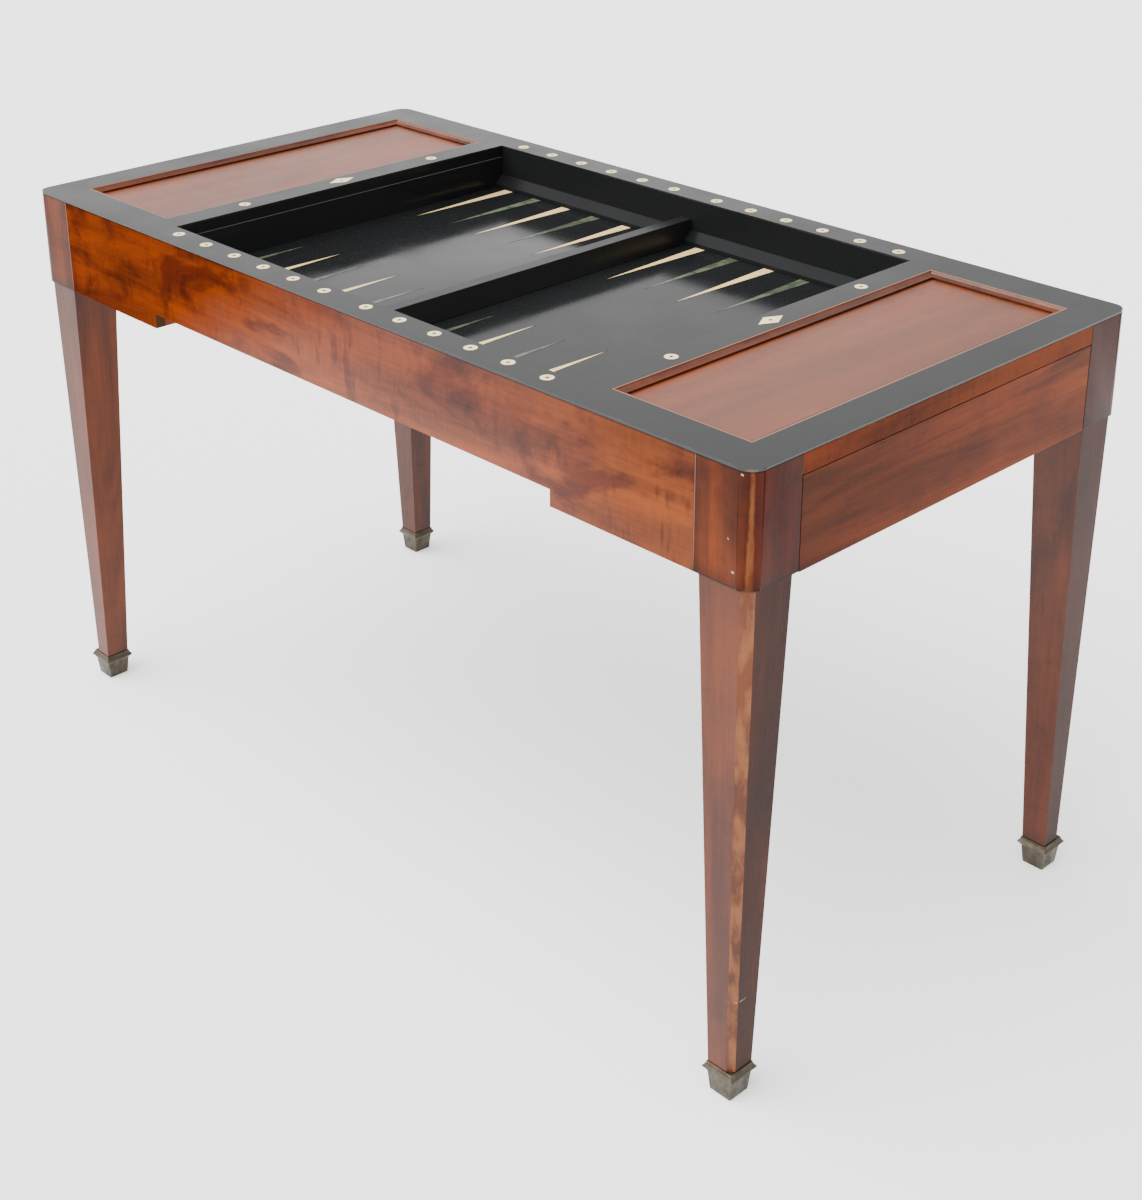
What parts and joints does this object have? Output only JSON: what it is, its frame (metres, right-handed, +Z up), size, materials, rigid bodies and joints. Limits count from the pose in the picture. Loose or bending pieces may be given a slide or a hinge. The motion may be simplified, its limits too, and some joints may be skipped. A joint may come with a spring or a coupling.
{
  "type": "tric trac table",
  "caption": "Rectangular games table on square tapered legs, its open top showing sunken wells with triangular points, a frame with peg holes, panelled ends and an end drawer.",
  "frame": {"origin": "on the floor under the middle of the table", "axes": "+X along the table towards its right end as seen from the front, -Y towards the front, +Z up"},
  "size_m": [1.24, 0.62, 0.722],
  "materials": {
    "mahogany": "French polished",
    "ebonised_wood": "stained black and polished",
    "inner_wood": "bare planed wood",
    "patinated_brass": "dark worn patina"
  },
  "bodies": {
    "carcase": {"front_apron": "mahogany", "back_apron": "mahogany", "leg_front_right": "mahogany", "leg_back_right": "mahogany", "partition_right": "mahogany", "panel_rail_right": "mahogany", "end_top_rail_right": "mahogany", "end_panel_right": "mahogany", "panel_side_rail_front_right": "mahogany", "panel_side_rail_back_right": "mahogany", "cove_front_right": "mahogany", "cove_back_right": "mahogany", "cove_right_outer": "mahogany", "cove_right_inner": "mahogany", "leg_front_left": "mahogany", "leg_back_left": "mahogany", "partition_left": "mahogany", "panel_rail_left": "mahogany", "end_top_rail_left": "mahogany", "end_panel_left": "mahogany", "panel_side_rail_front_left": "mahogany", "panel_side_rail_back_left": "mahogany", "cove_front_left": "mahogany", "cove_back_left": "mahogany", "cove_left_outer": "mahogany", "cove_left_inner": "mahogany", "rim_front": "ebonised_wood", "rim_back": "ebonised_wood", "well_lining_front": "ebonised_wood", "well_lining_back": "ebonised_wood", "well_divider": "ebonised_wood", "rim_cross_right": "ebonised_wood", "rim_end_right": "ebonised_wood", "well_floor_right": "ebonised_wood", "rim_side_front_right": "ebonised_wood", "rim_side_back_right": "ebonised_wood", "rim_cross_left": "ebonised_wood", "rim_end_left": "ebonised_wood", "well_floor_left": "ebonised_wood", "rim_side_front_left": "ebonised_wood", "rim_side_back_left": "ebonised_wood", "drawer_runner_front_right": "inner_wood", "drawer_runner_back_right": "inner_wood", "drawer_runner_front_left": "inner_wood", "drawer_runner_back_left": "inner_wood", "sabot_front_right": "patinated_brass", "sabot_back_right": "patinated_brass", "sabot_front_left": "patinated_brass", "sabot_back_left": "patinated_brass"},
    "drawer_right": {"drawer_right_front": "mahogany", "drawer_side_front_right": "inner_wood", "drawer_side_back_right": "inner_wood", "drawer_right_back": "inner_wood", "drawer_right_bottom": "inner_wood"},
    "drawer_left": {"drawer_left_front": "mahogany", "drawer_side_front_left": "inner_wood", "drawer_side_back_left": "inner_wood", "drawer_left_back": "inner_wood", "drawer_left_bottom": "inner_wood"}
  },
  "joints": [
    {"name": "drawer_right_slide", "type": "slide", "parent": "carcase", "child": "drawer_right", "axis": [1, 0, 0], "range_m": [0, 0.165]},
    {"name": "drawer_left_slide", "type": "slide", "parent": "carcase", "child": "drawer_left", "axis": [-1, 0, 0], "range_m": [0, 0.165]}
  ]
}
